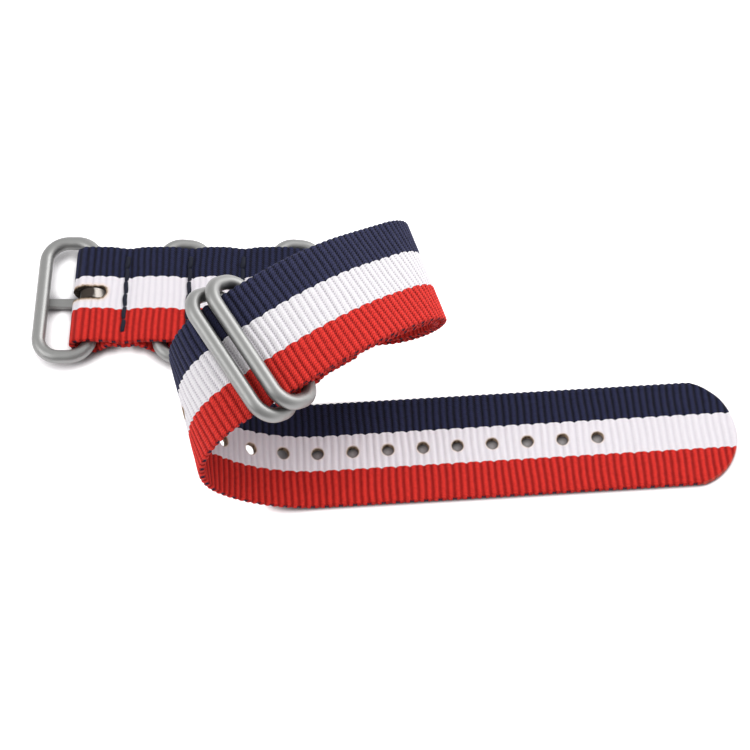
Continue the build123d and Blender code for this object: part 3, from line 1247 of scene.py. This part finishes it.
        phase = graph.math("FRACT", rib)
        from_middle = graph.math("ABSOLUTE", graph.math("SUBTRACT", phase, 0.5))
        from_ridge = graph.math("MULTIPLY", from_middle, 2.0)
        odd = graph.math("FLOORED_MODULO", graph.math("FLOOR", graph.math("ADD", rib, 0.5)), 2.0)
        turns = graph.math("MULTIPLY_ADD", odd, 0.5, graph.math("DIVIDE", across, self.yarn_pitch))
        beads = graph.math("SINE", graph.math("MULTIPLY", turns, 2 * pi))
        slant = graph.math("MULTIPLY", graph.math("SUBTRACT", phase, 0.5), self.yarn_slant)
        strands = graph.math("SINE", graph.math("MULTIPLY", graph.math("ADD", turns, slant), pi))
        strands = graph.math("ABSOLUTE", strands)
        in_groove = graph.ramp(from_ridge, *self.pit_edge)
        pit = graph.math("MULTIPLY", in_groove, graph.ramp(beads, *self.bead_edge))
        pit = graph.math("MULTIPLY", pit, graph.ramp(outside, 0.0, 1.0, *self.pit_depth))

        between = graph.math("SUBTRACT", 1.0, strands)
        shade = graph.math("MULTIPLY", between, graph.ramp(outside, 0.0, 1.0, *self.strand_shade))
        depth = graph.ramp(outside, 0.0, 1.0, *self.rib_shade)
        broad = graph.math("MULTIPLY", graph.ramp(from_ridge, *self.rib_edge), depth)
        shade = graph.math("ADD", shade, broad)
        mottle = graph.noise(self.mottle_cells, self.mottle_detail)
        shade = graph.math("ADD", shade, graph.ramp(mottle, *self.mottle_edge, 0.0, self.mottle_shade))
        shade = graph.math("MINIMUM", shade, 1.0)
        # painted shade in the grooves and between the strands, with a random mottle, and then in the pits
        colour = graph.mix(shade, graph.mix(outside, smooth, lit_roped), grooves)
        return graph.mix(pit, colour, pits), graph.math("SUBTRACT", strands, pit)

    def singed(self, graph: Graph, colour: Socket) -> Socket:
        """Stain the webbing where heat cut it: pale, then tan, then charred at the wall.

        Args:
            graph: Graph of the material.
            colour: Colour of the yarns.

        Returns:
            The stained colour.
        """
        singe = graph.attribute("singe")
        spread = self.singe_uneven
        uneven = graph.math("MULTIPLY_ADD", graph.noise(self.singe_cells), spread, -spread / 2)
        scorched = graph.math("ADD", singe, uneven)
        colour = graph.mix(graph.ramp(singe, *self.stain_edge, 0.0, self.stain_share), colour, self.stain_and_shade)
        colour = graph.mix(graph.ramp(scorched, *self.tan_edge), colour, self.tan)
        return graph.mix(graph.ramp(scorched, *self.char_edge), colour, self.char)

    def choose(self, graph: Graph, colours: Stripes, stripes: tuple[Socket, Socket]) -> Socket:
        """Colour of the stripe: white, unless the first number says navy or the second red."""
        is_navy, is_red = stripes
        return graph.mix(is_red, graph.mix(is_navy, colours.white, colours.navy), colours.red)


@dataclass(frozen=True)
class WireFinish:
    """Satin stainless wire."""

    name: str = "satin_wire"
    colour: Colour = (0.3, 0.3, 0.295, 1.0)
    roughness: float = 0.5
    grain_cells: float = 2600.0
    grain_detail: float = 3.0
    grain_relief: float = 0.00002
    grain_strength: float = 0.25

    def material(self) -> bpy.types.Material:
        """Make the material.

        Returns:
            The material.
        """
        graph = Graph(self.name)
        self.metal(graph)
        return graph.material

    def metal(self, graph: Graph) -> None:
        """Set a bead-blasted metal surface.

        Args:
            graph: Graph of the material.
        """
        grain = graph.noise(self.grain_cells, self.grain_detail)
        normal = graph.bump(grain, self.grain_relief, self.grain_strength)
        graph.surface(Base_Color=self.colour, Metallic=1.0, Roughness=self.roughness, Normal=normal)


@dataclass(frozen=True)
class TongueFinish(WireFinish):
    """The same metal, with painted shade on the eye's top over the bar, where it sits in the slot, and pale
    beyond it.

    Heights and distances are in metres.
    """

    name: str = "shaded_tinted_wire"
    bar_x: float = 0.0
    # painted shade, dark brown like a scorch, over the bar where the eye sits in the webbing's slot
    stain_and_shade: Colour = (0.035, 0.025, 0.018, 1.0)
    pale_tint: Colour = (0.8, 0.74, 0.68, 1.0)
    shade_heights: Edge = (0.0032, 0.0042)
    pale_edge: Edge = (0.0002, 0.001)
    speckle_cells: float = 1100.0
    speckle_reach: float = 0.001
    shaded_roughness: float = 0.4

    def material(self) -> bpy.types.Material:
        """Make the material.

        Returns:
            The material.
        """
        graph = Graph(self.name)
        self.metal(graph)
        split = graph.tree.nodes.new("ShaderNodeSeparateXYZ")
        graph.put(split, 0, graph.place())
        # painted shade: between these heights the eye's top takes the dark colour over the bar and the pale
        # tint beyond it, and is no longer metal
        shaded_and_tinted = graph.ramp(split.outputs["Z"], *self.shade_heights)
        speckle = graph.math("SUBTRACT", graph.noise(self.speckle_cells), 0.5)
        ahead = graph.math("SUBTRACT", split.outputs["X"], self.bar_x)
        ahead = graph.math("MULTIPLY_ADD", speckle, self.speckle_reach, ahead)
        shade_and_tint = graph.mix(graph.ramp(ahead, *self.pale_edge), self.stain_and_shade, self.pale_tint)
        graph.surface(Base_Color=graph.mix(shaded_and_tinted, self.colour, shade_and_tint))
        graph.surface(Metallic=graph.math("SUBTRACT", 1.0, shaded_and_tinted))
        roughness = graph.math("MULTIPLY_ADD", shaded_and_tinted, self.shaded_roughness, self.roughness)
        graph.surface(Roughness=roughness)
        return graph.material


@dataclass(frozen=True)
class ThreadFinish:
    """Dark bonded sewing thread."""

    name: str = "sewing_thread"
    colour: Colour = (0.01, 0.012, 0.024, 1.0)
    roughness: float = 0.65
    specular: float = 0.2

    def material(self) -> bpy.types.Material:
        """Make the material.

        Returns:
            The material.
        """
        graph = Graph(self.name)
        graph.surface(Base_Color=self.colour, Roughness=self.roughness, Specular_IOR_Level=self.specular)
        return graph.material


@dataclass(frozen=True)
class StitchRow:
    """Row of stitches through two layers: a thread on each face that dips in at every needle hole."""

    name: str
    frame: Frame
    depth: float
    count: int = 6
    reach: float = 8.8
    radius: float = 0.44
    sides: int = 10
    steps: int = 20
    lift: float = 0.1
    dip: float = 0.3
    fullness: float = 0.3
    waist_share: float = 0.7
    flatness_share: float = 0.8
    knot: float = 0.25
    knot_place: float = 0.75
    knot_width: float = 0.3
    sway: float = 0.07
    sway_turn: float = 5.1

    def thread(self, height: float, side: float) -> tuple[Array, Corners]:
        """Tube along the row: a circle carried along arches that start and end inside the webbing.

        Args:
            height: Height of the face over the frame.
            side: 1 for the near face and -1 for the far one.

        Returns:
            Points and faces.
        """
        turn = np.linspace(0.0, self.count, self.count * self.steps + 1)
        across = self.reach - 2 * self.reach * turn / self.count
        arch = np.abs(np.sin(pi * turn)) ** self.fullness
        lift = height + side * (self.lift * arch - self.dip * (1 - arch))
        knot = self.knot * np.exp(-(((turn - self.knot_place) / self.knot_width) ** 2)) * (side > 0)
        radius = self.radius * (self.waist_share + (1 - self.waist_share) * arch) * (1 + knot)
        angle = np.linspace(0.0, 2 * pi, self.sides, endpoint=False)
        along = radius[:, None] * np.cos(angle) + self.sway * np.sin(turn * self.sway_turn)[:, None]
        out = lift[:, None] + radius[:, None] * np.sin(angle) * self.flatness_share
        wide = np.broadcast_to(across[:, None], along.shape)
        points = lay_flat(self.frame, along.ravel(), wide.ravel(), out.ravel())
        return points, tube_faces(len(turn), self.sides)

    def build(self, origin: Array) -> bpy.types.Object:
        """Make the mesh of both threads.

        Args:
            origin: Place of the ribbon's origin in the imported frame, in millimetres.

        Returns:
            The row's object.
        """
        top, faces = self.thread(0.0, 1.0)
        bottom, more = self.thread(-self.depth, -1.0)
        points = (np.vstack([top, bottom]) + origin) * METRES
        mesh = make_mesh(self.name, points, np.vstack([faces, more + len(top)]))
        return add_object(self.name, mesh)


def tube_faces(rings: int, sides: int) -> Corners:
    """Corner numbers of a tube's quads, with a fan at each end closed onto the ring's first point.

    Args:
        rings: Number of rings of points.
        sides: Number of points in a ring.

    Returns:
        Four numbers for each face, the last one said twice in a triangle.
    """
    ring, side = np.meshgrid(np.arange(rings - 1), np.arange(sides), indexing="ij")
    here = (ring * sides + side).ravel()
    beside = (ring * sides + (side + 1) % sides).ravel()
    body = np.column_stack([here, here + sides, beside + sides, beside])
    fan = np.arange(1, sides - 1)
    first = np.column_stack([np.zeros_like(fan), fan, fan + 1, fan + 1])
    last = (rings - 1) * sides + first[:, ::-1]
    return np.vstack([body, first, last])


def seen_directly(tree: bpy.types.NodeTree) -> Socket:
    """Tell what the camera, a mirror or glass shows from light that falls on things.

    Args:
        tree: Node tree to add the nodes to.

    Returns:
        Number that is 1 for what is seen, and 0 for light.
    """
    path = tree.nodes.new("ShaderNodeLightPath")
    total = path.outputs["Is Camera Ray"]
    for name in ("Is Glossy Ray", "Is Transmission Ray"):
        either = tree.nodes.new("ShaderNodeMath")
        either.operation = "MAXIMUM"
        tree.links.new(total, either.inputs[0])
        tree.links.new(path.outputs[name], either.inputs[1])
        total = either.outputs[0]
    return total


@dataclass(frozen=True)
class Studio:
    """Table, lamps and camera. The lens and the sensor are in millimetres, and the rest is in metres."""

    aim: Place = (-0.00103, -0.00003, 0.0)
    elevation: float = 61.5
    distance: float = 0.3361
    lens: float = 81.64
    sensor: float = 36.0
    nearest: float = 0.01
    table_size: float = 4.0
    table_glow: float = 0.8
    contact_reach: float = 0.003
    world_light: float = 0.74
    room_shade: float = 0.3
    room_bright: Place = (0.3, 0.75, 0.6)
    room_edge: Edge = (-0.5, 0.6)
    table_colour: Colour = (0.82, 0.8, 0.82, 1.0)
    table_roughness: float = 0.9
    table_specular: float = 0.1
    # painted shade: colour of the table where the strap is near, darkest in its holes
    painted_shade_colour: Colour = (0.16, 0.15, 0.16, 1.0)
    glow_edge: Edge = (0.5, 0.9)
    pit_edge: Edge = (0.2, 0.7)
    key_place: Place = (0.62, 0.5, 0.55)
    key_size: float = 0.55
    key_power: float = 5.6
    side_place: Place = (-0.6, -0.2, 0.5)
    side_size: float = 0.5
    side_power: float = 2.8

    def camera(self) -> None:
        """Put the camera at the photograph's angle."""
        lens = bpy.data.cameras.new("camera")
        lens.lens = self.lens
        lens.sensor_width = self.sensor
        lens.clip_start = self.nearest
        camera = bpy.data.objects.new("camera", lens)
        tilt = radians(self.elevation)
        x, y, z = self.aim
        camera.location = (x, y - self.distance * cos(tilt), z + self.distance * sin(tilt))
        camera.rotation_euler = (pi / 2 - tilt, 0.0, 0.0)
        bpy.context.scene.collection.objects.link(camera)
        bpy.context.scene.camera = camera

    def lamp(self, name: str, place: Place, size: float, power: float) -> None:
        """Hang a square lamp that points at the strap.

        Args:
            name: Name of the lamp.
            place: Its place in metres.
            size: Its side in metres.
            power: Its power in watts.
        """
        light = bpy.data.lights.new(name, "AREA")
        light.size = size
        light.energy = power
        lamp = bpy.data.objects.new(name, light)
        lamp.location = place
        direction = np.array(self.aim) - np.array(place)
        heading = atan2(direction[1], direction[0])
        drop = atan2(-direction[2], float(np.hypot(direction[0], direction[1])))
        lamp.rotation_euler = (pi / 2 - drop, 0.0, heading - pi / 2)
        lamp.visible_camera = False
        bpy.context.scene.collection.objects.link(lamp)

    def world(self) -> None:
        """White surroundings, seen at full strength and lighting at less."""
        world = bpy.data.worlds.new("studio")
        world.use_nodes = True
        tree = world.node_tree
        background = tree.nodes["Background"]
        seen = tree.nodes.new("ShaderNodeMapRange")
        tree.links.new(seen_directly(tree), seen.inputs["Value"])
        seen.inputs["To Min"].default_value = self.world_light
        seen.inputs["To Max"].default_value = 1.0
        tree.links.new(seen.outputs[0], background.inputs["Strength"])
        tree.links.new(self.room(tree), background.inputs["Color"])
        bpy.context.scene.world = world

    def room(self, tree: bpy.types.NodeTree) -> Socket:
        """Shade the room: white behind the strap and overhead, grey behind the camera, white if seen.

        Args:
            tree: Node tree of the world.

        Returns:
            The shade.
        """
        direction = tree.nodes.new("ShaderNodeTexCoord")
        lean = tree.nodes.new("ShaderNodeVectorMath")
        lean.operation = "DOT_PRODUCT"
        tree.links.new(direction.outputs["Generated"], lean.inputs[0])
        lean.inputs[1].default_value = self.room_bright
        shade = tree.nodes.new("ShaderNodeMapRange")
        shade.interpolation_type = "SMOOTHSTEP"
        tree.links.new(lean.outputs["Value"], shade.inputs["Value"])
        shade.inputs["From Min"].default_value = self.room_edge[0]
        shade.inputs["From Max"].default_value = self.room_edge[1]
        shade.inputs["To Min"].default_value = self.room_shade
        path = tree.nodes.new("ShaderNodeLightPath")
        bright = tree.nodes.new("ShaderNodeMath")
        bright.operation = "MAXIMUM"
        tree.links.new(shade.outputs[0], bright.inputs[0])
        tree.links.new(path.outputs["Is Camera Ray"], bright.inputs[1])
        return bright.outputs[0]

    def table(self) -> None:
        """White table that glows a little to the camera, so that only the shadows show, with painted shade
        where the strap is near.
        """
        half = self.table_size / 2
        corners = np.array([[-half, -half, 0.0], [half, -half, 0.0], [half, half, 0.0], [-half, half, 0.0]])
        mesh = make_mesh("table", corners, np.array([[0, 1, 2, 3]]))
        table = add_object("table", mesh)
        graph = Graph("white_table")
        nearby = graph.tree.nodes.new("ShaderNodeAmbientOcclusion")
        nearby.inputs["Distance"].default_value = self.contact_reach
        glow = graph.math("MULTIPLY", seen_directly(graph.tree), self.table_glow)
        # painted shade: the glow fades where the strap is near
        glow = graph.math("MULTIPLY", glow, graph.ramp(nearby.outputs["AO"], *self.glow_edge))
        # painted shade: the colour darkens there too
        unshaded_share = graph.ramp(nearby.outputs["AO"], *self.pit_edge)
        colour = graph.mix(unshaded_share, self.painted_shade_colour, self.table_colour)
        graph.surface(Base_Color=colour, Roughness=self.table_roughness)
        graph.surface(Specular_IOR_Level=self.table_specular)
        graph.surface(Emission_Color=WHITE, Emission_Strength=glow)
        mesh.materials.append(graph.material)

    def build(self) -> None:
        """Set the whole studio up."""
        self.camera()
        self.world()
        self.lamp("key", self.key_place, self.key_size, self.key_power)
        self.lamp("side", self.side_place, self.side_size, self.side_power)
        self.table()
        bpy.context.scene.view_settings.view_transform = "Standard"


@dataclass(frozen=True)
class Bar:
    """Straight bar of a ring, whose ends turn into the ring's round corners."""

    centre: Array
    axis: Array
    length: float
    corner: float
    wire: float
    clearance: float
    corner_share: float = 0.85

    def ease(self, points: Array) -> Array:
        """Move points that are in the way of the ring's round corners outwards, away from the bar's axis.

        The limit is the height of the corner's inner arc over the axis, which rises along the bar's ends as
        a circle does, or the wire's radius if that is more, and the clearance.

        Args:
            points: Points round the bar, one row each, moved in place.

        Returns:
            The same points.
        """
        straight = self.length / 2 - self.corner
        offset = points - self.centre
        slide = offset @ self.axis
        spoke = offset - slide[:, None] * self.axis
        spread = np.linalg.norm(spoke, axis=1)
        inner = self.corner - 2 * self.wire
        beyond = np.clip(np.abs(slide) - straight, 0.0, inner * self.corner_share)
        dip = self.corner - self.wire - np.sqrt(inner**2 - beyond**2)
        limit = np.maximum(dip, self.wire) + self.clearance
        near = (beyond > 0) & (np.abs(slide) < self.length / 2) & (spread < limit)
        points[near] += spoke[near] * (limit[near] / spread[near] - 1)[:, None]
        return points


@dataclass
class Strap:
    """Webbing and stitches of the strap, from the place of the buckle bar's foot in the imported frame."""

    sizes: StrapSizes
    origin: Array
    body: str = "webbing"
    ribs_per_hole: float = 5.0
    under_ribs_per_hole: float = 5.4
    under_rib_depth: float = 0.24
    slot_scorch: float = 1.1
    slot_scorch_reach: float = 1.3
    slot_ragged: float = 0.08

    def __post_init__(self) -> None:
        """Lay the ribbons, and make the finishes."""
        sizes, route = self.sizes, Route(self.sizes)
        self.ribbon, self.fold_start = route.long_strap()
        self.guide = route.guide()
        self.turn_back = sizes.fold_x + sizes.fold_to_ring + sizes.ring_pitch
        self.loop = route.end_loop(self.guide.frame_at(self.turn_back).moved(0.0, sizes.step))
        self.bars = self.ring_bars()
        self.finish = WebbingFinish(sizes.width).material()
        self.thread = ThreadFinish().material()

    def ring_bars(self) -> list[Bar]:
        """Find the bars of the buckle, the keepers and the end rings that the webbing passes round.

        Returns:
            The bars, from the buckle on.
        """
        sizes = self.sizes
        wire, gap = sizes.wire_radius, sizes.pin_clearance
        foot = UP * sizes.pin_height
        bars = [Bar(foot, AWAY, sizes.buckle_length, sizes.buckle_corner, wire, gap)]
        for x in sizes.keepers:
            bars.append(Bar(foot + RIGHT * x, AWAY, sizes.ring_length, sizes.ring_corner, wire, gap))
        for back in (sizes.ring_pitch, 0.0):
            frame = self.guide.frame_at(self.turn_back - back)
            centre = frame.centre + frame.normal * (sizes.step + sizes.loop_radius)
            bars.append(Bar(centre, frame.across, sizes.ring_length, sizes.ring_corner, wire, gap))
        return bars

    def ease_round_bars(self, points: Array) -> Array:
        """Ease the webbing's edges round the corners of every ring.

        Args:
            points: Points in millimetres, moved in place.

        Returns:
            The same points.
        """
        for bar in self.bars:
            bar.ease(points)
        return points

    def sag(self, points: Array) -> Array:
        """Lower the two layers a little where they are sewn: a bell curve at each row.

        Args:
            points: Points in millimetres, moved in place.

        Returns:
            The same points.
        """
        for x in self.sizes.stitches:
            away = (points[:, 0] - x) / self.sizes.sag_width
            points[:, 2] -= self.sizes.sag * np.exp(-(away**2))
        return points

    def place_long(self, along: Array, across: Array, out: Array) -> Array:
        """Place points of the long strap.

        Args:
            along: Distances along its ribbon.
            across: Distances across it.
            out: Distances out of its wrist side.

        Returns:
            Points, one row each.
        """
        points = self.ribbon.place(along, across, out)
        flat = along < self.fold_start - self.sizes.sag_margin
        points[flat] = self.sag(points[flat])
        return self.ease_round_bars(points)

    def place_under(self, along: Array, across: Array, out: Array) -> Array:
        """Place points of the under strap, which follows the guide and then its own end loop.

        Args:
            along: Distances along it.
            across: Distances across it.
            out: Distances out of the wrist side.

        Returns:
            Points, one row each.
        """
        points = self.guide.place(along, across, out + self.sizes.step)
        flat = along < self.sizes.fold_x - self.sizes.sag_margin
        points[flat] = self.sag(points[flat])
        back = along > self.turn_back
        points[back] = self.loop.place(along[back] - self.turn_back, across[back], out[back])
        return self.ease_round_bars(points)

    def dress(self, piece: bpy.types.Object, node: str, finish: bpy.types.Material) -> None:
        """Give a piece its finish and its place in the frame.

        Args:
            piece: The piece's object.
            node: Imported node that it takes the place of.
            finish: Its material.
        """
        piece.data.materials.append(finish)
        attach(piece, self.body)
        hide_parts(node)
        LOG.info("%s: %d faces for %s", piece.name, len(piece.data.polygons), node)

    def slot(self, end: float) -> Opening:
        """Cut the tongue's slot, which runs out over the webbing's square end.

        Args:
            end: Distance along the webbing of the centre of its round end.

        Returns:
            The slot.
        """
        return Opening(
            -self.sizes.width,
            end,
            self.sizes.slot_width / 2,
            open_start=True,
            scorch=self.slot_scorch,
            scorch_reach=self.slot_scorch_reach,
            ragged=self.slot_ragged,
        )

    def long_strap(self) -> None:
        """Build the long strap with its adjustment holes and the tongue's slot."""
        sizes = self.sizes
        last = self.fold_start + sizes.fold_to_tip - sizes.tip_to_hole
        places = last - sizes.hole_pitch * np.arange(sizes.hole_count)
        holes = [Opening(place, place, sizes.hole_radius) for place in places]
        round_bar = pi * sizes.loop_radius + 2 * sizes.buckle_slack
        reach = sizes.slot_reach_below - sizes.slot_width / 2
        slot = self.slot(round_bar + reach / cos(radians(sizes.slope)))
        weave = Weave(sizes.hole_pitch / self.ribs_per_hole)
        layout = WebbingPlan(sizes, weave, self.ribbon.length, [slot, *holes], round_tip=True)
        webbing = Webbing("long_webbing", layout, self.place_long, (0.0,), pressed_until=self.fold_start)
        self.dress(webbing.build(self.origin), "long_strap", self.finish)

    def under_strap(self) -> None:
        """Build the under strap, from the buckle to its end loop."""
        sizes = self.sizes
        length = self.turn_back + self.loop.length
        slot = self.slot(sizes.slot_reach - sizes.slot_width / 2)
        weave = Weave(sizes.hole_pitch / self.under_ribs_per_hole, depth=self.under_rib_depth)
        layout = WebbingPlan(sizes, weave, length, [slot])
        webbing = Webbing("under_webbing", layout, self.place_under, (0.0,), pressed_until=sizes.fold_x)
        self.dress(webbing.build(self.origin), "under_strap", self.finish)

    def stitch_rows(self) -> None:
        """Sew the rows at the buckle end and the row that holds the end loop."""
        sizes = self.sizes
        depth = sizes.thickness + sizes.step
        for number, x in enumerate(sizes.stitches, start=1):
            top = self.sag(np.array([[x, 0.0, 2 * sizes.pin_height]]))[0]
            row = StitchRow(f"stitches_{number}", Frame(top, RIGHT, AWAY), depth)
            self.dress(row.build(self.origin), f"stitch_row_{number}", self.thread)
        tab = self.loop.frame_at(self.loop.length - sizes.tab_length + sizes.tab_stitch)
        face = Frame(tab.centre - tab.normal * (sizes.thickness / 2), -tab.along, tab.across)
        row = StitchRow("stitches_5", face, depth)
        self.dress(row.build(self.origin), "stitch_row_5", self.thread)

    def build(self) -> None:
        """Build both straps and every row of stitches."""
        self.long_strap()
        self.under_strap()
        self.stitch_rows()


@dataclass(frozen=True)
class Hardware:
    """The wire pieces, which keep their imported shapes."""

    bar_x: float
    tongue: str = "buckle_tongue"
    nodes: tuple[str, ...] = (
        "buckle_frame",
        "buckle_tongue",
        "keeper_ring_1",
        "keeper_ring_2",
        "end_ring_1",
        "end_ring_2",
    )

    def finish(self, packed: dict[str, bpy.types.Object]) -> None:
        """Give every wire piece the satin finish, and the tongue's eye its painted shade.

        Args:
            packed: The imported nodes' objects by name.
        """
        wire = WireFinish().material()
        shaded_and_tinted = TongueFinish(bar_x=self.bar_x).material()
        for name in self.nodes:
            material = shaded_and_tinted if name == self.tongue else wire
            for slot in packed[name].material_slots:
                slot.material = material
            LOG.info("%s: %s", name, material.name)


def buckle_origin(sizes: StrapSizes) -> Array:
    """Find the foot of the buckle bar's axis from the buckle frame's box.

    Args:
        sizes: The strap's sizes.

    Returns:
        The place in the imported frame, in millimetres.
    """
    low, high = (np.array(corner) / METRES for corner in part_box("buckle_frame"))
    middle = (low + high) / 2
    return np.array([high[0] - sizes.wire_radius, middle[1], middle[2] - sizes.pin_height])


def main() -> None:
    """Load the frame and dress it."""
    logging.basicConfig(level=logging.INFO, format="%(message)s")
    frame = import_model()
    sizes = StrapSizes()
    Studio().build()
    origin = buckle_origin(sizes)
    Strap(sizes, origin).build()
    Hardware(float(origin[0]) * METRES).finish(frame["nodes"])


if __name__ == "__main__":
    main()
